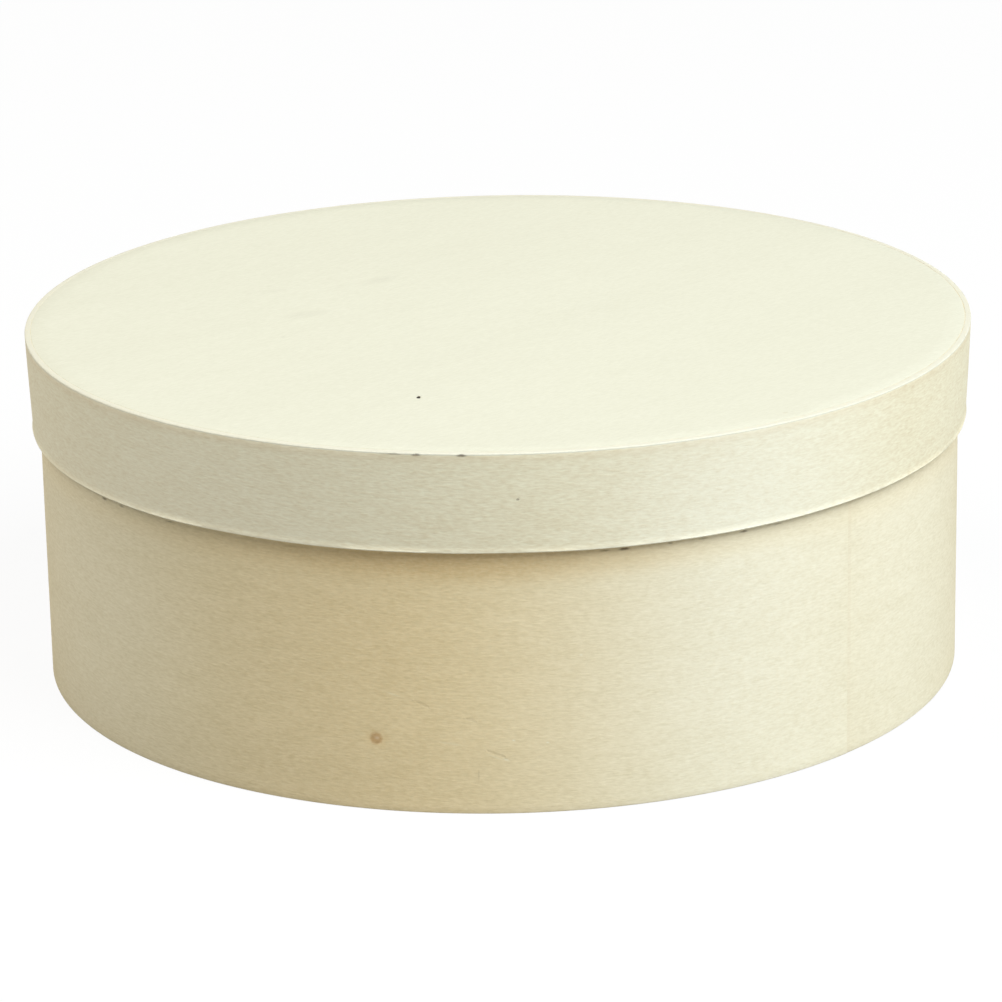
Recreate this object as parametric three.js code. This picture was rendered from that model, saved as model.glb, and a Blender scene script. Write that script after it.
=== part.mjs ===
// Round wooden gift box with a lift-off lid, in millimetres, +Z up.
// The base is a thin band of wood bent round a plywood disc, and the lid is a shallower
// band bent round a larger disc, drawn in a little at its lower edge so that it hugs the base.
// Each band is one strip whose two ends meet in a glued scarf lap. Each disc is three plies,
// and a bead of glue holds it in its band. The lid's disc rests on the top edge of the wall.
// The origin is the middle of the underside, and -Y is the front.

import * as THREE from "three";
import { toCreasedNormals } from "three/addons/utils/BufferGeometryUtils.js";

// Driving sizes of the closed box
const boxHeight = 75;
const lidDiameter = 200;
const lidBandHeight = 20.5;
const lidDrawIn = 0.7;

// Sheets of wood
const lidBandThickness = 1.2;
const wallBandThickness = 1.2;
const faceVeneerThickness = 0.6;
const corePlyThickness = 1.7;
const plyGlueLine = 0.05;

// Fits, each on the radius or the height
const lidClearance = 0.4;
const discFit = 0.1;
const lidSeatGap = 0.2;

// Scarf lap that closes each band
const lapLength = 40;
const lapTipThickness = 0.25;
const lapGlueLine = 0.1;
const wallSeamAngle = THREE.MathUtils.degToRad(-45);
const lidSeamAngle = THREE.MathUtils.degToRad(112);

// Glue beads in the corners between disc and band
const lidBeadLeg = 0.6;
const baseBeadLeg = 1;
const beadGap = 0.05;

// Round stretches are drawn with this many flat facets a turn, shaded as one smooth face.
// A facet's middle lies nearer the axis than its corners, by the share below.
const facets = 180;
const turn = 2 * Math.PI;
const creaseAngle = Math.PI / 6;
const facetMiddleShare = Math.cos(Math.PI / facets);

// Places worked out from the sizes
const discThickness = 2 * (faceVeneerThickness + plyGlueLine) + corePlyThickness;
const lidDiscUnderside = boxHeight - discThickness;
const lidBandUnderside = boxHeight - lidBandHeight;
const lidOuterRadius = lidDiameter / 2;
const lidInnerRadius = lidOuterRadius - lidBandThickness;
const lidDrawInAtDisc = lidDrawIn * (discThickness / lidBandHeight);
const lidDiscRadius = (lidInnerRadius - lidDrawInAtDisc) * facetMiddleShare - discFit;
const wallOuterRadius = (lidInnerRadius - lidDrawIn) * facetMiddleShare - lidClearance;
const wallInnerRadius = wallOuterRadius - wallBandThickness;
const wallHeight = lidDiscUnderside - lidSeatGap;
const baseDiscRadius = wallInnerRadius * facetMiddleShare - discFit;

const bandWood = new THREE.MeshStandardMaterial({ color: 0xe6dcb8, roughness: 0.72, metalness: 0 });
const veneerWood = new THREE.MeshStandardMaterial({ color: 0xeee8cd, roughness: 0.68, metalness: 0 });
const coreWood = new THREE.MeshStandardMaterial({ color: 0xd9c79b, roughness: 0.8, metalness: 0 });
const driedGlue = new THREE.MeshStandardMaterial({ color: 0xe0d2a0, roughness: 0.35, metalness: 0 });

function pointAt(radius, angle) {
  return new THREE.Vector2(radius * Math.cos(angle), radius * Math.sin(angle));
}

// Points about the origin from one angle to another, while the radius changes evenly
function arcPoints(fromRadius, toRadius, fromAngle, toAngle) {
  const steps = Math.ceil((Math.abs(toAngle - fromAngle) / turn) * facets);
  const points = [];
  for (let step = 0; step <= steps; step++) {
    const share = step / steps;
    const radius = THREE.MathUtils.lerp(fromRadius, toRadius, share);
    points.push(pointAt(radius, THREE.MathUtils.lerp(fromAngle, toAngle, share)));
  }
  return points;
}

// The edge of one strip bent into a hoop, seen from above, with its outer tip at angle 0.
// Over the lap the outer end thins from the inside and the inner end from the outside,
// with a line of glue between them, so both faces of the hoop stay round.
function hoopOutline(outerRadius, thickness) {
  const innerRadius = outerRadius - thickness;
  const lapAngle = lapLength / outerRadius;
  const halfGlue = lapGlueLine / 2;
  const outerSlit = lapGlueLine / outerRadius;
  const innerSlit = lapGlueLine / innerRadius;
  const scarfAtInnerTip = innerRadius + lapTipThickness;
  const scarfAtOuterTip = outerRadius - lapTipThickness;
  const innerSlitAngle = turn - lapAngle - innerSlit;
  return new THREE.Shape([
    ...arcPoints(outerRadius, outerRadius, outerSlit, turn),
    ...arcPoints(scarfAtOuterTip + halfGlue, scarfAtInnerTip + halfGlue, turn, turn - lapAngle),
    pointAt(scarfAtInnerTip + halfGlue, innerSlitAngle),
    ...arcPoints(innerRadius, innerRadius, innerSlitAngle, -lapAngle),
    ...arcPoints(scarfAtInnerTip - halfGlue, scarfAtOuterTip - halfGlue, -lapAngle, 0),
    pointAt(scarfAtOuterTip - halfGlue, outerSlit),
  ]);
}

// A hoop standing on z = 0, whose lower edge is drawn in towards the axis
function hoopGeometry(outerRadius, thickness, height, drawIn) {
  const outline = hoopOutline(outerRadius, thickness);
  const geometry = new THREE.ExtrudeGeometry(outline, { depth: height, bevelEnabled: false });
  const position = geometry.getAttribute("position");
  for (let i = 0; i < position.count; i++) {
    const x = position.getX(i);
    const y = position.getY(i);
    const inset = drawIn * (1 - position.getZ(i) / height);
    const share = 1 - inset / Math.hypot(x, y);
    position.setXY(i, x * share, y * share);
  }
  return toCreasedNormals(geometry, creaseAngle);
}

// A round sheet lying on z = 0
function discGeometry(radius, thickness) {
  const geometry = new THREE.CylinderGeometry(radius, radius, thickness, facets);
  return geometry.rotateX(Math.PI / 2).translate(0, 0, thickness / 2);
}

// A ring of glue in an inner corner: one leg lies on the disc at z = 0 and the other on the
// band's inner face, above the disc or, with a negative rise, below it
function beadGeometry(cornerRadius, leg, rise) {
  const corner = new THREE.Vector2(cornerRadius, 0);
  const onDisc = new THREE.Vector2(cornerRadius - leg, 0);
  const onBand = new THREE.Vector2(cornerRadius, rise);
  const profile = rise > 0 ? [corner, onBand, onDisc, corner] : [corner, onDisc, onBand, corner];
  return new THREE.LatheGeometry(profile, facets).rotateX(Math.PI / 2);
}

function addPiece(group, name, geometry, material, z, turnedBy = 0) {
  const piece = new THREE.Mesh(geometry, material);
  piece.name = name;
  piece.position.z = z;
  piece.rotation.z = turnedBy;
  group.add(piece);
}

// Three plies, listed from the lowest up, with a line of glue between them
function addDisc(group, radius, underside, lowerName, coreName, upperName) {
  const coreZ = underside + faceVeneerThickness + plyGlueLine;
  const upperZ = coreZ + corePlyThickness + plyGlueLine;
  addPiece(group, lowerName, discGeometry(radius, faceVeneerThickness), veneerWood, underside);
  addPiece(group, coreName, discGeometry(radius, corePlyThickness), coreWood, coreZ);
  addPiece(group, upperName, discGeometry(radius, faceVeneerThickness), veneerWood, upperZ);
}

function makeBase() {
  const base = new THREE.Group();
  const wall = hoopGeometry(wallOuterRadius, wallBandThickness, wallHeight, 0);
  addPiece(base, "base_wall_band", wall, bandWood, 0, wallSeamAngle);
  addDisc(base, baseDiscRadius, 0, "base_under_veneer", "base_core_ply", "base_floor_veneer");
  const beadRadius = wallInnerRadius * facetMiddleShare - beadGap;
  const bead = beadGeometry(beadRadius, baseBeadLeg, baseBeadLeg);
  addPiece(base, "base_glue_bead", bead, driedGlue, discThickness + beadGap);
  return base;
}

function makeLid() {
  const lid = new THREE.Group();
  const rim = hoopGeometry(lidOuterRadius, lidBandThickness, lidBandHeight, lidDrawIn);
  addPiece(lid, "lid_rim_band", rim, bandWood, lidBandUnderside, lidSeamAngle);
  addDisc(lid, lidDiscRadius, lidDiscUnderside, "lid_inner_veneer", "lid_core_ply", "lid_top_veneer");
  const drawInAtBead = lidDrawInAtDisc + lidDrawIn * (lidBeadLeg / lidBandHeight);
  const beadRadius = (lidInnerRadius - drawInAtBead) * facetMiddleShare - beadGap;
  const bead = beadGeometry(beadRadius, lidBeadLeg, -lidBeadLeg);
  addPiece(lid, "lid_glue_bead", bead, driedGlue, lidDiscUnderside - beadGap);
  return lid;
}

const giftBox = new THREE.Group();
giftBox.name = "round_wooden_gift_box";
giftBox.add(makeBase(), makeLid());

export default giftBox;
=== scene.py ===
"""Round wooden gift box: the finished look of every piece, laid out as a Blender add-on.

Each band starts as a flat strip of wood whose ends are cut to scarfs. The marks of use are pressed
into it while it is flat, and then it is bent into its hoop. The discs are plies, and the glue that
holds them in the bands is modelled as it dries in the corners and the joints.
All lengths are in metres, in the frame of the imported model: +Z is up and -Y is the front.
Wood places are given as (along the grain, across it, into the wood), so that a mark or the grain is
described alike on a strip that is bent and on a disc.
"""

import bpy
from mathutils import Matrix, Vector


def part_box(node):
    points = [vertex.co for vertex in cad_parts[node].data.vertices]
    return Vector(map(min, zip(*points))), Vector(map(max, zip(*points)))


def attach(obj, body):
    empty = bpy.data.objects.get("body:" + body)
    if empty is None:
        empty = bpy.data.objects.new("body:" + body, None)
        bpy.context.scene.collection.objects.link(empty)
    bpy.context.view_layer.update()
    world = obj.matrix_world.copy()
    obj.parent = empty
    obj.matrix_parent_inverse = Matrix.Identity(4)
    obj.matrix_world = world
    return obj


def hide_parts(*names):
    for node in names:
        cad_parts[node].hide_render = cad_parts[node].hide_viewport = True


bl_info = {
    "name": "Round wooden gift box",
    "version": (1, 0, 0),
    "blender": (4, 5, 0),
    "location": "3D View > Sidebar > Gift Box",
    "description": "Bends, glues and finishes the pieces of a round wooden gift box",
    "category": "Add Mesh",
}

import contextlib
import math
from dataclasses import dataclass

import bmesh
import bpy
from mathutils import Color, Vector

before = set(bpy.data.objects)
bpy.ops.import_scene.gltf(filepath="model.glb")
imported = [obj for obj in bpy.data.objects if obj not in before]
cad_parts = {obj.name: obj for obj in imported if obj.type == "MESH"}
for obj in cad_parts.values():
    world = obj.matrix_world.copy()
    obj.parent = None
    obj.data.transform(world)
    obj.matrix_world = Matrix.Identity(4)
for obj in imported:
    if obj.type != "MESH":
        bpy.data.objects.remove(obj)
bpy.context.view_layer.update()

FULL_TURN = 2 * math.pi
QUARTER_TURN = math.pi / 2
SMOOTH_ANGLE = math.radians(35)
CUT_TOLERANCE = 1e-7
MERGE_DISTANCE = 1e-6
BAND_SHEET = 0.0012

# The band that goes round the discs of each body
BAND_NODES = {"base": "base_wall_band", "lid": "lid_rim_band"}

# Half the length of a mark that runs all round a band
ALL_ROUND = 1

# At least so many faces lie across a mark that is pressed into the wood
MARK_FACETS = 4

# These paints cover the wood, and the others darken it
COVERING_PAINTS = ("fresh_and_highlight", "rim")

# The detail and the seed of the noise of each layer of the grain, and of the clouds in dried glue
GRAIN_NOISES = {"figure": (2, 1), "flecks": (3, 2), "fibres": (2, 3), "pores": (1, 4)}
CLOUD_NOISE = (3, 5)

# The levels of that noise at which a cloud starts to show and at which it shows fully
CLOUD_SHARES = (0.3, 0.7)

# The angle of the grain to X in degrees, and the strength of its tone, for each finish of a disc
DISC_GRAIN = {"top": (40, 0.6), "inside": (12, 0.8), "core": (100, 1)}

# Where a Mix node has its two colour inputs and its colour output
MIX_INPUTS = (6, 7)
MIX_OUTPUT = 2


def length(name, description, default):
    return bpy.props.FloatProperty(
        name=name, description=description, default=default, min=0, precision=5, unit="LENGTH")


def lengths(name, description, *default):
    return bpy.props.FloatVectorProperty(
        name=name, description=description, default=default, min=0, precision=5, unit="LENGTH")


def angle(name, description, degrees):
    return bpy.props.FloatProperty(
        name=name, description=description, default=math.radians(degrees), subtype="ANGLE")


def share(name, description, default):
    return bpy.props.FloatProperty(
        name=name, description=description, default=default, min=0, max=1, subtype="FACTOR")


def level(name, description, default):
    return bpy.props.FloatProperty(name=name, description=description, default=default, min=0)


def count(name, description, default):
    return bpy.props.IntProperty(name=name, description=description, default=default, min=1)


def colour(name, description, red, green, blue):
    """A colour as it shows on a screen, each part from 0 to 255."""
    default = (red / 255, green / 255, blue / 255)
    return bpy.props.FloatVectorProperty(
        name=name, description=description, default=default, min=0, max=1, subtype="COLOR_GAMMA")


class GiftBoxSizes(bpy.types.PropertyGroup):
    """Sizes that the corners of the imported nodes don't tell"""

    sheet: length("Band sheet", "Thickness of the bent strips", BAND_SHEET)
    arris: length("Arris", "Rounding that sanding leaves on an outer edge", 0.00025)
    sharp_arris: length("Sharp arris", "Rounding of an edge that was sanded flush", 0.00003)
    arris_facets: count("Arris facets", "Faces across the arris of a strip", 3)
    disc_arris_facets: count("Disc arris facets", "Faces across the arris of a disc", 2)
    lap: length("Lap", "Length of the scarf lap that closes a band", 0.04)
    lap_tip: length("Lap tip", "Thickness left at the thin end of a scarf", 0.00009)
    lap_glue: length("Lap glue", "Thickness of the glue in a lap", 0.00003)
    wall_seam: angle("Wall seam", "Where the wall's outer end lies, counted from +X", -45)
    lid_seam: angle("Lid seam", "Where the lid band's outer end lies, counted from +X", 112)
    lid_draw_in: length("Lid draw-in", "How far the lid band leans in at its lower edge", 0.0007)
    strip_facets: count("Facets along a strip", "Faces along the length of a strip", 480)
    facet_height: length("Facet height", "Height of the faces of a strip", 0.0015)
    disc_facets: count("Facets round a disc", "Faces round the edge of a disc", 360)
    disc_ring: length("Disc ring", "Width of the rings of faces on a disc", 0.004)
    ripple: length("Ripple", "How far a band's free edge waves in and out", 0.0002)
    ripple_length: length("Ripple length", "Length of those waves", 0.035)
    edge_wander: length("Edge wander", "How far the lid's lower edge wanders up and down", 0.00022)
    flare: length("Flare", "How far the fibres at the lid's lower edge stand out", 0.00037)
    flare_length: length("Flare length", "Length of the places where they stand out", 0.02)
    flare_height: length("Flare height", "Height of the fibres that stand out", 0.0007)
    joint_gap: length("Joint gap", "Narrowest gap between a disc and its band", 0.00002)
    bead: length("Floor glue bead", "Width of the glue bead round the floor", 0.00095)
    lid_bead: length("Lid glue bead", "Width of the glue bead under the lid", 0.00055)
    bead_hollow: share("Bead hollow", "How much of a bead's free corner is drawn in", 0.85)
    bead_curve: share("Bead curve", "How far that corner bulges out again", 0.2)
    bead_facets: count("Bead facets", "Faces across the free side of a glue bead", 6)
    bead_lumps: length("Bead lumps", "How far a glue bead swells and shrinks", 0.00025)
    bead_lump_length: length("Bead lump length", "Length of those swellings", 0.004)
    film: length("Joint film", "Width of the glue and dust that fill the lid's joint", 0.00012)
    film_depth: length("Joint film depth", "Depth of that filling", 0.0005)
    film_arris: length("Joint film arris", "Rounding of that filling's edges", 0.000015)


class GiftBoxGrain(bpy.types.PropertyGroup):
    """Sizes and strengths of the grain, the rims of the marks, and the gloss of wood and glue"""

    figure: lengths("Figure", "Size of the broad soft patches", 0.07, 0.014, 0.01)
    flecks: lengths("Flecks", "Size of the longer flecks", 0.008, 0.0022, 0.003)
    fibres: lengths("Fibres", "Size of the short fibres", 0.0017, 0.0005, 0.0006)
    pores: lengths("Pores", "Size of the fine pores", 0.0014, 0.00026, 0.0004)
    clouds: lengths("Glue clouds", "Size of the clouds in dried glue", 0.004, 0.004, 0.0015)
    figure_share: share("Figure share", "How much the broad patches change the tone", 0.3)
    flecks_share: share("Fleck share", "How much the longer flecks change the tone", 0.4)
    fibres_share: share("Fibre share", "How much the short fibres change the tone", 0.8)
    pores_share: share("Pore share", "How much the pores change the tone", 0.75)
    wall_contrast: level("Wall contrast", "Strength of the grain's tone on the wall", 0.9)
    lid_band_contrast: level("Lid band contrast", "Strength of the grain's tone on the lid band", 1.1)
    cover_change: level("Cover change", "How much less of a covering paint shows on dark grain", 0.7)
    relief: length("Relief", "Height of the raised fibres", 0.000042)
    ragged: length("Ragged rim", "How far the rim of a mark strays", 0.0002)
    ragged_size: length("Ragged rim size", "Size of the bends in that rim", 0.00067)
    roughness: share("Roughness", "Lowest roughness of the sanded wood", 0.62)
    roughness_change: share("Roughness change", "How much rougher the fibres are", 0.2)
    sheen: share("Sheen", "How much light the wood mirrors", 0.25)
    glue_roughness: share("Glue roughness", "Roughness of the glue beads", 0.35)
    filling_roughness: share("Filling roughness", "Roughness of the filling in the lid's joint", 0.6)


class GiftBoxColours(bpy.types.PropertyGroup):
    """Colours of the wood and the glue, as they show in full light"""

    wall: colour("Wall", "Wood of the wall band", 254, 243, 211)
    wall_grain: colour("Wall grain", "Darker grain of the wall band", 218, 204, 162)
    lid_band: colour("Lid band", "Wood of the lid band", 255, 251, 223)
    lid_band_grain: colour("Lid band grain", "Darker grain of the lid band", 228, 214, 178)
    top: colour("Lid top", "Face veneer of the lid", 236, 235, 217)
    top_grain: colour("Lid top grain", "Darker grain of the lid's veneer", 213, 211, 190)
    inside: colour("Inside", "Veneers that face the inside and the ground", 238, 230, 202)
    inside_grain: colour("Inside grain", "Darker grain of those veneers", 216, 200, 160)
    core: colour("Core", "Middle ply of the discs", 222, 204, 160)
    core_grain: colour("Core grain", "Darker grain of the middle ply", 186, 160, 112)
    rim: colour("Rim", "Edge of the lid band, sanded flush with the veneer", 225, 222, 204)
    # Fresh wood also paints highlights and the lit sides of the bands, besides bare worn wood
    fresh_and_highlight: colour("Fresh wood", "Wood that sanding or wear has laid bare", 255, 252, 232)
    # Amber also paints warm shade on the wall's shaded side and under the lid, besides the knot's halo
    amber_and_shade: colour("Amber", "What warm heartwood leaves of the wood's colour", 252, 226, 176)
    stain: colour("Stain", "What a knot or a stain leaves of the wood's colour", 190, 134, 50)
    # Dirt also paints shade under the lid, at the wall's foot, in chips and in spots under the lid's
    # edge
    dirt_and_shade: colour("Dirt", "What a chip or a speck leaves of the wood's colour", 84, 66, 46)
    glue: colour("Glue", "Dried wood glue", 226, 208, 158)
    filling: colour("Joint filling", "Glue and wood dust in a sanded joint", 238, 232, 208)


class GiftBoxView(bpy.types.PropertyGroup):
    """The camera and the light of the picture"""

    distance: length("Distance", "From the camera to the point that it looks at", 0.9458)
    aim_height: length("Aim height", "Height of that point", 0.03255)
    elevation: angle("Elevation", "How far the camera looks down", 18.21)
    roll: angle("Roll", "How far the camera is turned clockwise", 1.09)
    lens: level("Lens", "Focal length in millimetres", 157.9)
    key_azimuth: angle("Key azimuth", "Where the key lamp stands, to the right of the front", 51)
    key_elevation: angle("Key elevation", "How high the key lamp stands", 46)
    key_level: level("Key level", "Light of the key lamp at the box", 1.22)
    key_colour: colour("Key colour", "Light of the key lamp", 244, 250, 255)
    fill_azimuth: angle("Fill azimuth", "Where the fill lamp stands, to the right of the front", -85)
    fill_elevation: angle("Fill elevation", "How high the fill lamp stands", 50)
    fill_level: level("Fill level", "Light of the fill lamp at the box", 0.57)
    fill_colour: colour("Fill colour", "Light of the fill lamp", 255, 249, 237)
    lamp_distance: length("Lamp distance", "From a lamp to the box", 2.4)
    lamp_size: length("Lamp size", "Side of a lamp", 1.8)
    sky_level: level("Sky level", "Light from all round", 0.09)
    sky_colour: colour("Sky colour", "Light from all round", 255, 249, 238)
    floor_width: length("Floor width", "Side of the floor", 6)
    floor_gap: length("Floor gap", "Keeps the floor clear of the box's underside", 0.0001)
    floor_bounce: share("Floor bounce", "How much light the floor throws back", 0.42)
    floor_paper: share("Floor paper", "How light the floor is where a shadow shows", 0.95)
    floor_white: share("Floor white", "How much of the floor is plain white in the picture", 0.92)


def sizes():
    return bpy.context.scene.gift_box_sizes


def grain():
    return bpy.context.scene.gift_box_grain


def colours():
    return bpy.context.scene.gift_box_colours


def view():
    return bpy.context.scene.gift_box_view


@dataclass
class Mark:
    """A mark or a patch on one face of the wood.

    The paint is one of the box's colours, and share is how much of it shows. It darkens the wood under
    it, unless it is one of the covering paints. The slope is in degrees.
    A mark with a depth is also pressed into the surface.
    """

    middle: tuple
    half_length: float
    half_width: float
    paint: str = "stain"
    share: float = 0
    slope: float = 0
    depth: float = 0
    half_depth: float = BAND_SHEET / 3
    soft_share: float = 0.5

    def reach(self, place, margin=0):
        """0 in the middle of the mark and 1 on its rim, with a margin added all round it."""
        offset = Vector(place) - Vector(self.middle)
        cos, sin = math.cos(math.radians(self.slope)), math.sin(math.radians(self.slope))
        forward = (offset.x * cos + offset.y * sin) / (self.half_length + margin)
        sideways = (offset.y * cos - offset.x * sin) / (self.half_width + margin)
        return Vector((forward, sideways, offset.z / self.half_depth)).length


class Strip:
    """Where things lie on one flat strip of wood and on the hoop that it is bent into."""

    def __init__(self, node, seam):
        self.low, self.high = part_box(node)
        self.sheet = sizes().sheet
        self.seam = seam
        self.step = sizes().lap_tip + sizes().lap_glue
        self.middle_radius = self.high.x - (self.sheet + self.step) / 2
        self.lap_angle = sizes().lap / self.high.x
        self.turn = FULL_TURN + self.lap_angle
        self.length = self.turn * self.middle_radius
        self.lap = self.lap_angle * self.middle_radius
        self.end = self.length / 2

    def mark(self, degrees, height, *values, **named_values):
        """A mark on the outer face, at an angle counted from +X and a height above the ground."""
        from_thin_end = (math.radians(degrees) - self.seam) % FULL_TURN + self.lap_angle
        along = from_thin_end * self.middle_radius - self.end
        return Mark((along, height, -self.sheet / 2), *values, **named_values)


def wood_place(point):
    """The wood place of a point of a flat strip, whose outer face is towards -Y."""
    return Vector((point.x, point.z, point.y))


def deselect():
    bpy.ops.object.select_all(action="DESELECT")


def choose(piece):
    deselect()
    piece.select_set(True)
    bpy.context.view_layer.objects.active = piece


@contextlib.contextmanager
def editing(piece):
    """Edit mode on one piece alone."""
    choose(piece)
    bpy.ops.object.mode_set(mode="EDIT")
    yield
    bpy.ops.object.mode_set(mode="OBJECT")


def select(piece, kind, wanted):
    """Selects the points, edges or faces of a piece that are wanted, and nothing else."""
    bpy.ops.mesh.select_mode(type=kind)
    bpy.ops.mesh.select_all(action="DESELECT")
    mesh = bmesh.from_edit_mesh(piece.data)
    for element in {"VERT": mesh.verts, "EDGE": mesh.edges, "FACE": mesh.faces}[kind]:
        if wanted(element):
            element.select_set(True)
    mesh.select_flush_mode()
    bmesh.update_edit_mesh(piece.data)


def cut(place, normal, take_off=False):
    """Cuts all of the mesh at a plane and, if asked, takes off what lies on the normal's side."""
    bpy.ops.mesh.select_all(action="SELECT")
    bpy.ops.mesh.bisect(
        plane_co=place, plane_no=normal, use_fill=take_off, clear_outer=take_off,
        threshold=CUT_TOLERANCE)


def settle(piece, location=(0, 0, 0), rotation=(0, 0, 0)):
    """Moves and turns a piece, and keeps its place and its size in its mesh."""
    choose(piece)
    piece.location = Vector(piece.location) + Vector(location)
    piece.rotation_euler = rotation
    bpy.ops.object.transform_apply(location=True, rotation=True, scale=True)


def apply_modifier(piece, kind, **settings):
    choose(piece)
    modifier = piece.modifiers.new(kind.title(), kind)
    for name, value in settings.items():
        setattr(modifier, name, value)
    bpy.ops.object.modifier_apply(modifier=modifier.name)


def clouds(name, size):
    texture = bpy.data.textures.new(name, "CLOUDS")
    texture.noise_scale = size
    return texture


def finish_piece(piece, body, slot, shader, *nodes):
    """Smooths a piece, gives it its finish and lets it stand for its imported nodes."""
    choose(piece)
    bpy.ops.object.shade_smooth_by_angle(angle=SMOOTH_ANGLE)
    piece.data.materials.clear()
    piece.data.materials.append(shader.material)
    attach(piece, body)
    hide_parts(*nodes)


def flat_strip(name, strip, flush_height):
    """A strip along X with its ends cut to scarfs. Its inner edge at one height is sanded flush."""
    height = strip.high.z - strip.low.z
    deselect()
    bpy.ops.mesh.primitive_cube_add(size=1, location=(0, 0, strip.low.z + height / 2))
    piece = bpy.context.object
    piece.name = name
    piece.scale = (strip.length, strip.sheet, height)
    settle(piece)
    outer, inner = -strip.sheet / 2, strip.sheet / 2
    wedge = strip.sheet - sizes().lap_tip

    def long_edge(edge, flush):
        ends = [point.co for point in edge.verts]
        is_flush = ends[0].y > 0 and abs(ends[0].z - flush_height) < strip.sheet
        return abs(ends[0].x - ends[1].x) > strip.end and is_flush == flush

    with editing(piece):
        select(piece, "EDGE", lambda edge: long_edge(edge, False))
        bpy.ops.mesh.bevel(offset=sizes().arris, segments=sizes().arris_facets)
        select(piece, "EDGE", lambda edge: long_edge(edge, True))
        bpy.ops.mesh.bevel(offset=sizes().sharp_arris, segments=1)
        cut((strip.end - strip.lap, inner, 0), (wedge, strip.lap, 0), take_off=True)
        cut((strip.lap - strip.end, outer, 0), (-wedge, -strip.lap, 0), take_off=True)
        for i in range(1, sizes().strip_facets):
            cut((strip.length * i / sizes().strip_facets - strip.end, 0, 0), (1, 0, 0))
        rows = round(height / sizes().facet_height)
        for i in range(1, rows):
            cut((0, 0, strip.low.z + height * i / rows), (0, 0, 1))
    return piece


def press(piece, mark, place_of, facet, push):
    """Cuts the faces at a mark finer, and pushes the wood there as far and the way that push says."""
    surroundings = 2 * facet

    def near(face, margin):
        return mark.reach(place_of(face.calc_center_median()), margin) < 1

    with editing(piece):
        while facet > 2 * mark.half_width / MARK_FACETS:
            select(piece, "FACE", lambda face: near(face, facet))
            bpy.ops.mesh.subdivide(number_cuts=1)
            facet /= 2
        select(piece, "FACE", lambda face: len(face.verts) > 4 and near(face, surroundings))
        bpy.ops.mesh.quads_convert_to_tris(ngon_method="BEAUTY")
        select(piece, "VERT", lambda point: mark.reach(place_of(point.co)) < mark.soft_share)
        bpy.ops.transform.translate(
            value=push, use_proportional_edit=True, proportional_edit_falloff="SMOOTH",
            proportional_size=mark.half_width)


def flare_edge(piece, strip):
    """Lets the fibres along a strip's lower edge stand out a little, here more and there less."""
    with editing(piece):
        cut((0, 0, strip.low.z + sizes().flare_height), (0, 0, 1))
    fibres = piece.vertex_groups.new(name="fibres")
    arris_top = strip.low.z + sizes().arris + MERGE_DISTANCE
    for point in piece.data.vertices:
        if point.co.y < 0 and point.co.z < arris_top:
            fibres.add([point.index], 1, "REPLACE")
    apply_modifier(piece, "DISPLACE", texture=clouds("fibre_ends", sizes().flare_length),
                   direction="Y", strength=-sizes().flare, mid_level=0, vertex_group=fibres.name)


def bent_band(name, strip, lean, held_height, free_height, marks):
    """Presses the marks into a flat strip, lets its free edge wave and bends it into its hoop."""
    flush_height = strip.high.z if lean else strip.low.z
    piece = flat_strip(name, strip, flush_height)
    places = piece.data.attributes.new("wood_place", "FLOAT_VECTOR", "POINT")
    flat_places = [part for point in piece.data.vertices for part in wood_place(point.co)]
    places.data.foreach_set("vector", flat_places)
    for mark in marks:
        if mark.depth:
            press(piece, mark, wood_place, sizes().facet_height, (0, mark.depth, 0))
    if lean:
        flare_edge(piece, strip)
    free = piece.vertex_groups.new(name="free")
    for point in piece.data.vertices:
        freedom = (point.co.z - held_height) / (free_height - held_height)
        free.add([point.index], min(max(freedom, 0), 1) ** 2, "REPLACE")
    waves = clouds(name + "_waves", sizes().ripple_length)
    apply_modifier(piece, "DISPLACE", texture=waves, direction="Y", strength=sizes().ripple,
                   mid_level=0, vertex_group=free.name)
    apply_modifier(piece, "DISPLACE", texture=waves, direction="Z", strength=sizes().edge_wander,
                   vertex_group=free.name)
    sunk = flush_height * (1 - math.cos(lean)) - strip.sheet / 2 * math.sin(lean)
    settle(piece, (0, flush_height * math.sin(lean), sunk), (lean, 0, 0))
    settle(piece, rotation=(0, 0, -strip.step / strip.length))
    apply_modifier(piece, "SIMPLE_DEFORM", deform_method="BEND", deform_axis="Z", angle=strip.turn)
    settle(piece, (0, -strip.middle_radius, 0))
    settle(piece, rotation=(0, 0, strip.seam - strip.lap_angle / 2 - QUARTER_TURN))
    return piece


def linear(shown):
    """A colour as light, from the colour as it shows on a screen."""
    return (*Color(shown).from_srgb_to_scene_linear(), 1.0)


def grey(light_share):
    """A grey as light, which throws back that share of it."""
    return (light_share, light_share, light_share, 1.0)


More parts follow.
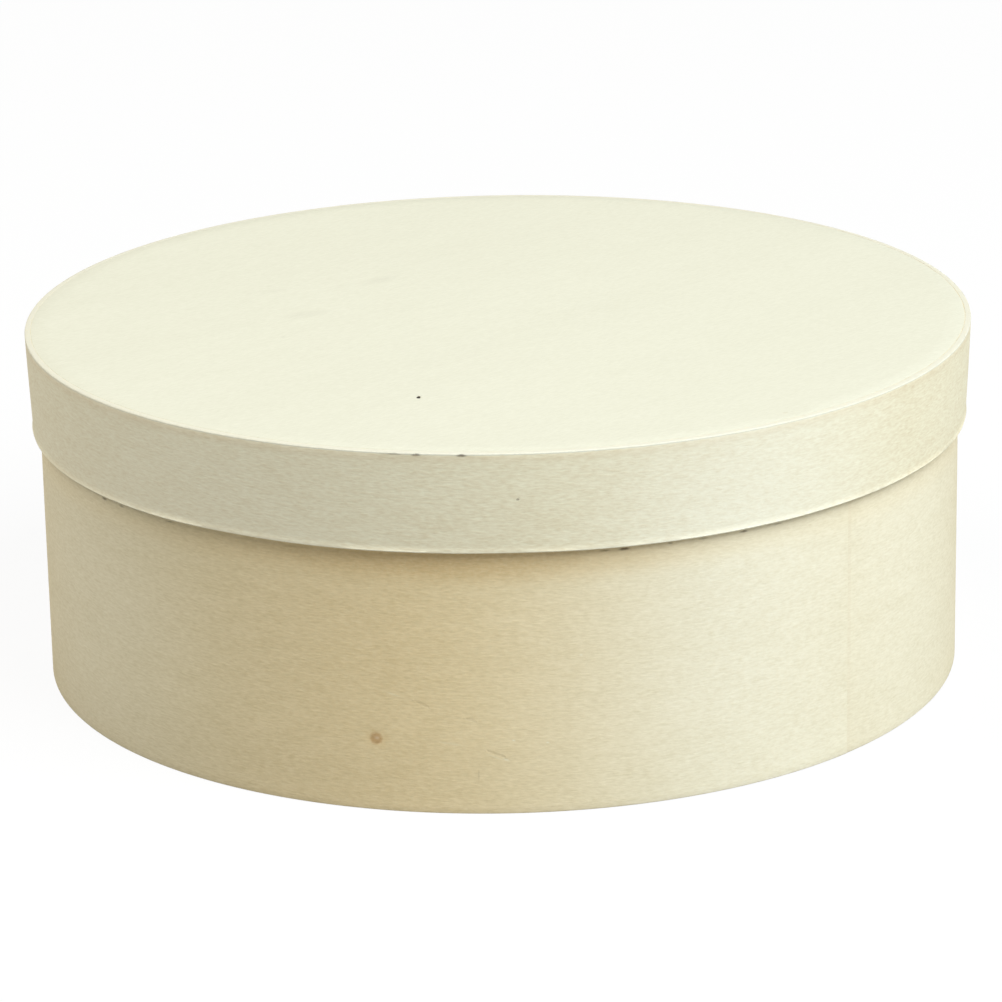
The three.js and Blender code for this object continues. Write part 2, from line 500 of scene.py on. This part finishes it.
class Nodes:
    """Adds nodes to one node tree and links them."""

    def __init__(self, tree):
        self.tree = tree

    def add(self, kind, inputs=None, **settings):
        node = self.tree.nodes.new("ShaderNode" + kind)
        for name, value in settings.items():
            setattr(node, name, value)
        for name, value in (inputs or {}).items():
            self.put(value, node.inputs[name])
        return node

    def put(self, value, socket):
        if isinstance(value, bpy.types.NodeSocket):
            self.tree.links.new(value, socket)
        else:
            socket.default_value = value

    def maths(self, operation, *values, clamp=False):
        node = self.add("Math", dict(enumerate(values)), operation=operation, use_clamp=clamp)
        return node.outputs[0]

    def noise(self, place, feature, detail, seed):
        """Soft noise whose patches are as long, wide and deep as the feature says."""
        mapped = self.add("Mapping", {"Vector": place, "Scale": Vector(feature)}, vector_type="TEXTURE")
        values = {"Vector": mapped.outputs[0], "W": seed, "Scale": 1.0, "Detail": detail}
        return self.add("TexNoise", values, noise_dimensions="4D").outputs[0]

    def between(self, value, low, high):
        """0 up to low, 1 from high on, and smooth in between."""
        values = {"Value": value, "From Min": low, "From Max": high}
        return self.add("MapRange", values, interpolation_type="SMOOTHSTEP").outputs[0]

    def mix(self, factor, first, second, blend="MIX"):
        node = self.add("Mix", {"Factor": factor}, data_type="RGBA", blend_type=blend)
        for value, socket in zip((first, second), MIX_INPUTS):
            self.put(value, node.inputs[socket])
        return node.outputs[MIX_OUTPUT]

    def in_view(self):
        """1 for the camera's rays and for mirrored and refracted ones, and 0 for the light's own."""
        path = self.add("LightPath")
        ahead = path.outputs["Is Camera Ray"]
        for name in ("Is Glossy Ray", "Is Transmission Ray"):
            ahead = self.maths("MAXIMUM", ahead, path.outputs[name])
        return ahead

    def inside(self, place, mark):
        """1 inside a mark and 0 outside it."""
        to_mark = {
            "Vector": place,
            "Location": Vector(mark.middle),
            "Rotation": Vector((0, 0, math.radians(mark.slope))),
            "Scale": Vector((mark.half_length, mark.half_width, mark.half_depth)),
        }
        own_place = self.add("Mapping", to_mark, vector_type="TEXTURE").outputs[0]
        reach = self.add("VectorMath", {0: own_place}, operation="LENGTH").outputs["Value"]
        return self.maths("SUBTRACT", 1.0, self.between(reach, mark.soft_share, 1.0))


class Shader(Nodes):
    """The nodes of one material."""

    def __init__(self, name):
        self.material = bpy.data.materials.new(name)
        self.material.use_nodes = True
        super().__init__(self.material.node_tree)
        self.surface = self.tree.nodes["Principled BSDF"]

    def raise_surface(self, height):
        """Raises the surface by up to the grain's relief."""
        bump = self.add("Bump", {"Strength": 1.0, "Distance": grain().relief, "Height": height})
        self.put(bump.outputs[0], self.surface.inputs["Normal"])


def grain_tone(shader, layers, contrast):
    """How dark the grain is, from 0 to 1: the sum of its layers, kept round the middle."""
    tone = (1 - contrast) / 2
    all_shares = 0
    for layer, noise in layers.items():
        layer_share = getattr(grain(), layer + "_share")
        tone = shader.maths("MULTIPLY_ADD", noise, contrast * layer_share, tone)
        all_shares += layer_share
    return shader.maths("SUBTRACT", tone, contrast * (all_shares - 1) / 2, clamp=True)


def with_marks(shader, shade, tone, place, marks):
    """Lays the paints of the marks over the shade of the wood, with ragged rims."""
    look = grain()
    bends = shader.add("TexNoise", {"Vector": place, "Scale": 1 / look.ragged_size}).outputs["Color"]
    strayed = {0: bends, 1: Vector((look.ragged,) * 3), 2: place}
    ragged = shader.add("VectorMath", strayed, operation="MULTIPLY_ADD").outputs[0]
    cover = shader.maths("MULTIPLY_ADD", tone, -look.cover_change, 1 + look.cover_change / 2)
    for mark in marks:
        amount = shader.maths("MULTIPLY", shader.inside(ragged, mark), mark.share)
        blend = "MULTIPLY"
        if mark.paint in COVERING_PAINTS:
            amount = shader.maths("MULTIPLY", amount, cover, clamp=True)
            blend = "MIX"
        shade = shader.mix(amount, shade, linear(getattr(colours(), mark.paint)), blend)
    return shade


def wood(name, pale, dark, bent=False, grain_degrees=0, marks=(), contrast=1.0):
    """Bare sanded wood, whose grain follows a bent band, and lies at an angle to X on a disc."""
    shader = Shader(name)
    if bent:
        place = shader.add("Attribute", attribute_name="wood_place").outputs["Vector"]
        along_grain = place
    else:
        place = shader.add("TexCoord").outputs["Object"]
        turned = {"Vector": place, "Rotation": Vector((0, 0, math.radians(grain_degrees)))}
        along_grain = shader.add("Mapping", turned, vector_type="TEXTURE").outputs[0]
    look = grain()
    layers = {layer: shader.noise(along_grain, getattr(look, layer), *detail_and_seed)
              for layer, detail_and_seed in GRAIN_NOISES.items()}
    tone = grain_tone(shader, layers, contrast)
    shade = shader.mix(tone, linear(pale), linear(dark))
    shade = with_marks(shader, shade, tone, place, marks)
    shader.put(shade, shader.surface.inputs["Base Color"])
    fibres, pores = layers["fibres"], layers["pores"]
    roughness = shader.maths("MULTIPLY_ADD", fibres, look.roughness_change, look.roughness)
    shader.put(roughness, shader.surface.inputs["Roughness"])
    shader.surface.inputs["Specular IOR Level"].default_value = look.sheen
    relief = shader.maths("MULTIPLY_ADD", pores, look.pores_share, fibres)
    shader.raise_surface(relief)
    return shader


def dried_glue(name, shown, roughness):
    """Dried wood glue, yellow and a little glossy, clouded where it is thick."""
    shader = Shader(name)
    place = shader.add("TexCoord").outputs["Object"]
    cloudy = shader.noise(place, grain().clouds, *CLOUD_NOISE)
    shade = shader.mix(shader.between(cloudy, *CLOUD_SHARES), linear(shown), linear(colours().core))
    shader.put(shade, shader.surface.inputs["Base Color"])
    shader.surface.inputs["Roughness"].default_value = roughness
    shader.raise_surface(cloudy)
    return shader


def shadow_spots_under_lid(strip):
    """Dark spots painted on the wall just under the lid's lower edge: painted shade in the gap there,
    also pressed in a little.
    """
    return (strip.mark(*place_and_size, "dirt_and_shade", paint_share, depth=0.00003, soft_share=0.1)
            for *place_and_size, paint_share in (
                (-144.9, 0.0532, 0.0015, 0.00042, 0.75),
                (-141.2, 0.0532, 0.0015, 0.00038, 0.4),
                (-132.2, 0.0534, 0.0016, 0.0003, 0.3),
                (-78.2, 0.0536, 0.0016, 0.0003, 0.45),
                (-75.9, 0.0536, 0.0017, 0.00046, 0.9),
                (-70.4, 0.0537, 0.0009, 0.00035, 0.5),
                (-66.3, 0.0536, 0.0018, 0.0003, 0.35),
                (-61.0, 0.0535, 0.0014, 0.00038, 0.7),
                (-56.2, 0.0535, 0.0017, 0.0003, 0.35)))


def seam_stain(strip, half_length, stain_share):
    """A faint stain beside the outer end of a band, where its glue has soaked in."""
    along = strip.lap - strip.end + half_length
    return Mark((along, strip.high.z, -strip.sheet / 2), half_length, 1, share=stain_share)


def wall_marks(strip):
    """Tones and painted light and shade of the wall, its pin knot, dents and scratches, and its seam
    stain.
    """
    height, face = strip.high.z, -strip.sheet / 2
    # Painted light and shade round the wall: lighter where the key lamp falls (-58, -35) and where the
    # fill lamp reaches (-152), warmer and darker in the shade between (-102)
    tones_and_painted_light = (
        strip.mark(-58, height / 2, 0.075, height * 2, "fresh_and_highlight", 0.6, soft_share=0),
        strip.mark(-35, height / 2, 0.075, height * 2, "fresh_and_highlight", 0.5, soft_share=0),
        strip.mark(-152, height / 2, 0.055, height * 2, "fresh_and_highlight", 0.4, soft_share=0),
        strip.mark(-102, height / 2, 0.07, height * 2, "amber_and_shade", 0.45, soft_share=0),
    )
    # Painted shade under the lid's lower edge: a warm darker band all round, deeper at the front, and a
    # thin dark line just under the edge
    painted_shade_under_lid = (
        Mark((0, 0.052, face), ALL_ROUND, 0.006, "amber_and_shade", 0.15, soft_share=0),
        strip.mark(-88, 0.052, 0.065, 0.006, "amber_and_shade", 0.35, soft_share=0),
        strip.mark(-90, 0.052, 0.06, 0.006, "dirt_and_shade", 0.13, soft_share=0),
        Mark((0, 0.0536, face), ALL_ROUND, 0.0008, "dirt_and_shade", 0.13, soft_share=0),
    )
    # Painted shade low on the shaded side (-122) and painted light low on the lit side (-50)
    foot = (
        strip.mark(-122, 0.004, 0.115, 0.016, "dirt_and_shade", 0.06, soft_share=0),
        strip.mark(-50, 0.004, 0.045, 0.018, "fresh_and_highlight", 0.13, soft_share=0),
    )
    pin_knot = (
        strip.mark(-105.0, 0.0152, 0.0036, 0.0028, "amber_and_shade", 0.25, soft_share=0),
        strip.mark(-105.0, 0.0152, 0.0017, 0.0017, share=0.42, depth=0.00005),
        strip.mark(-105.0, 0.0152, 0.0016, 0.0016, "dirt_and_shade", 0.08, soft_share=0.6),
        strip.mark(-104.9, 0.0153, 0.0008, 0.0006, "fresh_and_highlight", 0.25, soft_share=0),
        strip.mark(-105.5, 0.0156, 0.0006, 0.0004, "dirt_and_shade", 0.12, soft_share=0.2),
        strip.mark(-104.9, 0.0144, 0.0007, 0.0004, "dirt_and_shade", 0.12, soft_share=0.2),
    )
    dents_and_scratches = (
        strip.mark(-91.1, 0.0126, 0.0038, 0.00028, "dirt_and_shade", 0.12, slope=-21.6, depth=0.00005),
        strip.mark(-91.2, 0.0121, 0.003, 0.00022, "fresh_and_highlight", 0.3, slope=-21.6, soft_share=0.1),
        strip.mark(-89.9, 0.0115, 0.0012, 0.0003, "fresh_and_highlight", 0.45, slope=-24, soft_share=0.1),
        strip.mark(-96.1, 0.0148, 0.004, 0.0003, "fresh_and_highlight", 0.2, slope=-8, soft_share=0.1),
        strip.mark(-93.9, 0.0197, 0.0021, 0.00025, "dirt_and_shade", 0.15, slope=-18, depth=0.00004),
        strip.mark(-99.6, 0.0229, 0.003, 0.00028, "dirt_and_shade", 0.13, slope=-26, depth=0.00004),
        strip.mark(-102.7, 0.0246, 0.0026, 0.0003, "fresh_and_highlight", 0.25, slope=-17, soft_share=0.1),
        strip.mark(-93.1, 0.0082, 0.0003, 0.0018, "dirt_and_shade", 0.13, soft_share=0.2),
        strip.mark(-89.0, 0.0155, 0.0005, 0.0003, "fresh_and_highlight", 0.6, soft_share=0.1),
        strip.mark(-85.1, 0.0148, 0.0005, 0.0003, "fresh_and_highlight", 0.5, soft_share=0.1),
        strip.mark(-81.1, 0.0326, 0.0005, 0.0003, "fresh_and_highlight", 0.5, soft_share=0.1),
    )
    stain = seam_stain(strip, 0.0007, 0.04)
    shadow_spots = shadow_spots_under_lid(strip)
    return (*tones_and_painted_light, *painted_shade_under_lid, *foot, stain, *pin_knot, *dents_and_scratches, *shadow_spots)


def lid_band_marks(strip):
    """Tones and painted light of the lid band, its seam stain, worn edges with painted highlights,
    chips and a speck.
    """
    top, foot, face = strip.high.z, strip.low.z, -strip.sheet / 2
    arris, chip_height = sizes().arris, top - 0.0003
    # Painted light on the lid band: lighter on the lit side (-60) and towards the fill lamp (-142);
    # then a faint darker band just under the top edge
    tones_and_painted_light = (
        strip.mark(-142, foot, 0.11, top, "fresh_and_highlight", 0.45, soft_share=0),
        strip.mark(-60, foot, 0.05, top, "fresh_and_highlight", 0.65, soft_share=0),
        Mark((0, top - 0.001, face), ALL_ROUND, 0.0014, share=0.1, soft_share=0),
    )
    stain = (
        seam_stain(strip, 0.0007, 0.08),
        seam_stain(strip, 0.00015, 0.25),
    )
    # Worn edges that are partly painted highlights: a light lip along the lower edge, strongest round
    # -68, the rim's own colour on the top edge, and a light line on the top arris
    worn_edges_and_highlights = (
        Mark((0, foot, face), ALL_ROUND, 0.0006, "fresh_and_highlight", 0.3),
        strip.mark(-68, foot, 0.04, 0.0006, "fresh_and_highlight", 0.7, soft_share=0.3),
        Mark((0, top, 0), ALL_ROUND, 0.0004, "rim", 0.95, half_depth=strip.sheet * 2),
        Mark((0, top, face), ALL_ROUND, arris, "fresh_and_highlight", 0.6, half_depth=arris),
    )
    # Chips in the top edge, pressed in a little; their dark paint is partly painted shade in the
    # notches
    chips_and_their_shade = (
        strip.mark(-101.7, chip_height, 0.0019, 0.00026, "dirt_and_shade", 0.4, depth=0.00006, soft_share=0.2),
        strip.mark(-99.2, chip_height, 0.0014, 0.00036, "dirt_and_shade", 0.7, depth=0.0001, soft_share=0.2),
        strip.mark(-94.2, chip_height, 0.0015, 0.0004, "dirt_and_shade", 0.85, depth=0.00012, soft_share=0.2),
    )
    speck = strip.mark(-88.1, 0.0657, 0.0004, 0.0003, "dirt_and_shade", 0.55, depth=0.00004)
    return (*tones_and_painted_light, *stain, *worn_edges_and_highlights, *chips_and_their_shade, speck)


def lid_top_marks(height):
    """A speck of bark, a dent and faint streaks in the lid's veneer."""
    bark = (
        Mark((-0.0159, -0.0619, height), 0.0011, 0.00048, "dirt_and_shade", 1, slope=85, depth=0.0001,
             soft_share=0.6),
        Mark((-0.0159, -0.062, height), 0.0009, 0.0004, "dirt_and_shade", 1, slope=85),
    )
    dent = Mark((0.0559, -0.0771, height), 0.0007, 0.0004, share=0.2, depth=0.00006)
    streaks = (
        Mark((-0.0405, 0.0002, height), 0.0085, 0.004, "dirt_and_shade", 0.07, slope=30, soft_share=0),
        Mark((-0.0255, 0.0266, height), 0.0075, 0.0035, "dirt_and_shade", 0.075, slope=43, soft_share=0),
        Mark((-0.048, 0.0198, height), 0.006, 0.003, "dirt_and_shade", 0.03, slope=32, soft_share=0),
        Mark((-0.0446, -0.0168, height), 0.0007, 0.0007, "dirt_and_shade", 0.12, soft_share=0),
    )
    return (*bark, dent, *streaks)


class GIFTBOX_OT_stage(bpy.types.Operator):
    """Sets up the floor, the light and the camera"""

    bl_idname = "giftbox.stage"
    bl_label = "Stage"

    def execute(self, context):
        make_floor()
        make_sky()
        make_lamp("key")
        make_lamp("fill")
        make_camera()
        context.scene.view_settings.view_transform = "Standard"
        return {"FINISHED"}


class GIFTBOX_OT_wall_band(bpy.types.Operator):
    """Cuts, bends and finishes the band of the base"""

    bl_idname = "giftbox.wall_band"
    bl_label = "Wall band"

    def execute(self, context):
        strip = Strip("base_wall_band", sizes().wall_seam)
        marks = wall_marks(strip)
        floor_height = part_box("base_floor_veneer")[1].z
        piece = bent_band("wall_band", strip, 0, floor_height, strip.high.z, marks)
        shades = (colours().wall, colours().wall_grain)
        shader = wood("wall_wood", *shades, bent=True, marks=marks, contrast=grain().wall_contrast)
        finish_piece(piece, "base", "band_wood", shader, "base_wall_band")
        return {"FINISHED"}


class GIFTBOX_OT_lid_band(bpy.types.Operator):
    """Cuts, bends and finishes the band of the lid"""

    bl_idname = "giftbox.lid_band"
    bl_label = "Lid band"

    def execute(self, context):
        strip = Strip("lid_rim_band", sizes().lid_seam)
        marks = lid_band_marks(strip)
        lean = math.asin(sizes().lid_draw_in / (strip.high.z - strip.low.z))
        disc_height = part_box("lid_inner_veneer")[0].z
        piece = bent_band("lid_band", strip, lean, disc_height, strip.low.z, marks)
        shades = (colours().lid_band, colours().lid_band_grain)
        contrast = grain().lid_band_contrast
        shader = wood("lid_band_wood", *shades, bent=True, marks=marks, contrast=contrast)
        finish_piece(piece, "lid", "band_wood", shader, "lid_rim_band")
        return {"FINISHED"}


def ply_disc(name, node, radius, arris):
    """A round sheet with eased edges, and rings of faces on both sides."""
    low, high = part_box(node)
    middle = (0, 0, (low.z + high.z) / 2)
    deselect()
    bpy.ops.mesh.primitive_cylinder_add(
        vertices=sizes().disc_facets, radius=radius, depth=high.z - low.z, location=middle)
    piece = bpy.context.object
    piece.name = name
    settle(piece)
    rings = int(radius / sizes().disc_ring)
    with editing(piece):
        select(piece, "EDGE", lambda edge: abs(edge.verts[0].co.z - edge.verts[1].co.z) < arris / 2)
        bpy.ops.mesh.bevel(offset=arris, segments=sizes().disc_arris_facets)
        select(piece, "FACE", lambda face: len(face.verts) == sizes().disc_facets)
        for _ in range(rings):
            bpy.ops.mesh.inset(thickness=(radius - arris) / (rings + 1), use_individual=True)
        bpy.ops.mesh.poke()
    return piece


class GIFTBOX_OT_discs(bpy.types.Operator):
    """Cuts and finishes the plies of the floor and of the lid"""

    bl_idname = "giftbox.discs"
    bl_label = "Discs"

    def execute(self, context):
        for node, body, slot, finish in (
            ("lid_inner_veneer", "lid", "face_veneer", "inside"),
            ("lid_core_ply", "lid", "core_ply", "core"),
            ("lid_top_veneer", "lid", "face_veneer", "top"),
            ("base_under_veneer", "base", "face_veneer", "inside"),
            ("base_core_ply", "base", "core_ply", "core"),
            ("base_floor_veneer", "base", "face_veneer", "inside"),
        ):
            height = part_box(node)[1].z
            marks = lid_top_marks(height) if finish == "top" else ()
            name = node.removeprefix("lid_").removeprefix("base_")
            piece = ply_disc(f"{body}_{name}_sheet", node, disc_radius(body, node), sizes().sharp_arris)
            for mark in marks:
                if mark.depth:
                    press(piece, mark, Vector, sizes().disc_ring, (0, 0, -mark.depth))
            shades = (getattr(colours(), finish), getattr(colours(), finish + "_grain"))
            degrees, contrast = DISC_GRAIN[finish]
            shader = wood(
                node + "_wood", *shades, grain_degrees=degrees, marks=marks, contrast=contrast)
            finish_piece(piece, body, slot, shader, node)
        return {"FINISHED"}


def disc_radius(body, node):
    """The largest disc that fits its band at a node's height.

    A hoop narrows a little along its spiral, and the lid's hoop also towards its lower edge.
    """
    low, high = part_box(BAND_NODES[body])
    lean_in = sizes().lid_draw_in if body == "lid" else 0
    lean_in_here = lean_in * (high.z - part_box(node)[0].z) / (high.z - low.z)
    band_at_seam = sizes().sheet + sizes().lap_tip + sizes().lap_glue
    return high.x - lean_in_here - band_at_seam - sizes().joint_gap


def glue_bead(name, radius, width, disc_height, rise):
    """A ring of glue in the corner between a disc and its band, above the disc or below it."""
    deselect()
    middle = (radius - width / 2, 0, disc_height + rise * width / 2)
    bpy.ops.mesh.primitive_plane_add(size=width, location=middle)
    piece = bpy.context.object
    piece.name = name
    settle(piece, rotation=(QUARTER_TURN, 0, 0))
    free_corner = Vector((radius - width, 0, disc_height + rise * width))
    with editing(piece):
        select(piece, "VERT", lambda point: (point.co - free_corner).length < width / 2)
        bpy.ops.mesh.bevel(
            offset=width * sizes().bead_hollow, segments=sizes().bead_facets,
            profile=sizes().bead_curve, affect="VERTICES")
        bpy.ops.mesh.select_all(action="SELECT")
        bpy.ops.mesh.delete(type="ONLY_FACE")
        bpy.ops.mesh.select_all(action="SELECT")
        bpy.ops.mesh.spin(steps=sizes().disc_facets, angle=FULL_TURN, center=(0, 0, 0), axis=(0, 0, 1))
        bpy.ops.mesh.select_all(action="SELECT")
        bpy.ops.mesh.remove_doubles(threshold=MERGE_DISTANCE)
        bpy.ops.mesh.normals_make_consistent(inside=False)
    free = piece.vertex_groups.new(name="free")
    for point in piece.data.vertices:
        from_band = radius - Vector((point.co.x, point.co.y)).length
        from_disc = abs(point.co.z - disc_height)
        if min(from_band, from_disc) > MERGE_DISTANCE:
            free.add([point.index], 1, "REPLACE")
    lumps = clouds(name + "_lumps", sizes().bead_lump_length)
    apply_modifier(piece, "DISPLACE", texture=lumps, direction="NORMAL", strength=sizes().bead_lumps,
                   vertex_group=free.name)
    return piece


def joint_film():
    """The thin filling of glue and dust between the lid's top veneer and its band."""
    low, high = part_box("lid_top_veneer")
    top = high.z - sizes().sharp_arris
    radius = disc_radius("lid", "lid_top_veneer") + sizes().film
    deselect()
    bpy.ops.mesh.primitive_cylinder_add(
        vertices=sizes().disc_facets, radius=radius, depth=sizes().film_depth, end_fill_type="NOTHING",
        location=(0, 0, top - sizes().film_depth / 2))
    piece = bpy.context.object
    piece.name = "lid_joint_film"
    settle(piece)
    apply_modifier(piece, "SOLIDIFY", thickness=sizes().film, offset=-1)
    apply_modifier(piece, "BEVEL", width=sizes().film_arris, segments=1)
    return piece


class GIFTBOX_OT_glue(bpy.types.Operator):
    """Makes the glue beads in the corners and the filling of the lid's joint"""

    bl_idname = "giftbox.glue"
    bl_label = "Glue"

    def execute(self, context):
        bead_glue = dried_glue("bead_glue", colours().glue, grain().glue_roughness)
        floor_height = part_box("base_floor_veneer")[1].z
        lining_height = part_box("lid_inner_veneer")[0].z
        radius = disc_radius("base", "base_glue_bead")
        base_bead = glue_bead("floor_glue_bead", radius, sizes().bead, floor_height, 1)
        finish_piece(base_bead, "base", "dried_glue", bead_glue, "base_glue_bead")
        radius = disc_radius("lid", "lid_glue_bead")
        lid_bead = glue_bead("lid_glue_bead_ring", radius, sizes().lid_bead, lining_height, -1)
        finish_piece(lid_bead, "lid", "dried_glue", bead_glue, "lid_glue_bead")
        filling = dried_glue("joint_filling", colours().filling, grain().filling_roughness)
        finish_piece(joint_film(), "lid", "dried_glue", filling, "lid_glue_bead")
        return {"FINISHED"}


def make_floor():
    """A plain floor that looks white, and keeps a faint shadow of the box."""
    deselect()
    bpy.ops.mesh.primitive_plane_add(size=view().floor_width, location=(0, 0, -view().floor_gap))
    floor = bpy.context.object
    floor.name = "floor"
    shader = Shader("floor_paper")
    shader.surface.inputs["Base Color"].default_value = grey(view().floor_bounce)
    shader.surface.inputs["Roughness"].default_value = 1
    shader.surface.inputs["Specular IOR Level"].default_value = 0
    bounce = shader.surface.outputs[0]
    paper = shader.add("BsdfDiffuse", {"Color": grey(view().floor_paper)})
    white = shader.add("Emission", {"Strength": 1.0})
    shown = shader.add("MixShader", {0: view().floor_white, 1: paper.outputs[0], 2: white.outputs[0]})
    both = shader.add("MixShader", {0: shader.in_view(), 1: bounce, 2: shown.outputs[0]})
    shader.put(both.outputs[0], shader.tree.nodes["Material Output"].inputs["Surface"])
    floor.data.materials.append(shader.material)


def make_sky():
    """Soft light from all round, white to the camera."""
    world = bpy.data.worlds.new("studio")
    world.use_nodes = True
    bpy.context.scene.world = world
    sky = Nodes(world.node_tree)
    background = sky.tree.nodes["Background"]
    white = sky.add("Background", {"Color": (1, 1, 1, 1), "Strength": 1.0})
    background.inputs["Color"].default_value = linear(view().sky_colour)
    background.inputs["Strength"].default_value = view().sky_level
    both = sky.add("MixShader", {0: sky.in_view(), 1: background.outputs[0], 2: white.outputs[0]})
    sky.put(both.outputs[0], sky.tree.nodes["World Output"].inputs["Surface"])


def make_lamp(name):
    """A square soft lamp that shines at the box, the key lamp or the fill lamp."""
    azimuth, elevation, light_level, light_colour = (
        getattr(view(), f"{name}_{quality}") for quality in ("azimuth", "elevation", "level", "colour"))
    flat = math.cos(elevation)
    towards = Vector((math.sin(azimuth) * flat, -math.cos(azimuth) * flat, math.sin(elevation)))
    deselect()
    bpy.ops.object.light_add(type="AREA", location=towards * view().lamp_distance)
    lamp = bpy.context.object
    lamp.name = name + "_lamp"
    lamp.rotation_euler = towards.to_track_quat("Z", "Y").to_euler()
    lamp.data.size = view().lamp_size
    lamp.data.color = linear(light_colour)[:3]
    # At about this power a white sheet that faces the lamp looks as bright as the level says
    lamp.data.energy = light_level * (math.pi * view().lamp_distance) ** 2


def make_camera():
    """The camera of the picture, turned a little clockwise."""
    deselect()
    bpy.ops.object.camera_add()
    camera = bpy.context.object
    camera.name = "camera"
    back = Vector((0, -math.cos(view().elevation), math.sin(view().elevation)))
    camera.location = Vector((0, 0, view().aim_height)) + back * view().distance
    camera.rotation_mode = "ZYX"
    camera.rotation_euler = (QUARTER_TURN - view().elevation, 0, -view().roll)
    camera.data.lens = view().lens
    bpy.context.scene.camera = camera


class GIFTBOX_PT_panel(bpy.types.Panel):
    """Lists the steps, the sizes and the colours of the gift box"""

    bl_idname = "GIFTBOX_PT_panel"
    bl_label = "Round wooden gift box"
    bl_space_type = "VIEW_3D"
    bl_region_type = "UI"
    bl_category = "Gift Box"

    def draw(self, context):
        for step in STEPS:
            self.layout.operator(step.bl_idname)
        for group_name, group in GROUPS.items():
            box = self.layout.box()
            for name in group.__annotations__:
                box.prop(getattr(context.scene, group_name), name)


GROUPS = {
    "gift_box_sizes": GiftBoxSizes,
    "gift_box_grain": GiftBoxGrain,
    "gift_box_colours": GiftBoxColours,
    "gift_box_view": GiftBoxView,
}
STEPS = (GIFTBOX_OT_stage, GIFTBOX_OT_wall_band, GIFTBOX_OT_lid_band, GIFTBOX_OT_discs, GIFTBOX_OT_glue)


def register():
    for item in (*GROUPS.values(), *STEPS, GIFTBOX_PT_panel):
        bpy.utils.register_class(item)
    for name, group in GROUPS.items():
        setattr(bpy.types.Scene, name, bpy.props.PointerProperty(type=group))


def unregister():
    for name in GROUPS:
        delattr(bpy.types.Scene, name)
    for item in (GIFTBOX_PT_panel, *reversed(STEPS), *reversed(GROUPS.values())):
        bpy.utils.unregister_class(item)


def main():
    register()
    bpy.ops.giftbox.stage()
    bpy.ops.giftbox.wall_band()
    bpy.ops.giftbox.lid_band()
    bpy.ops.giftbox.discs()
    bpy.ops.giftbox.glue()


if __name__ == "__main__":
    main()
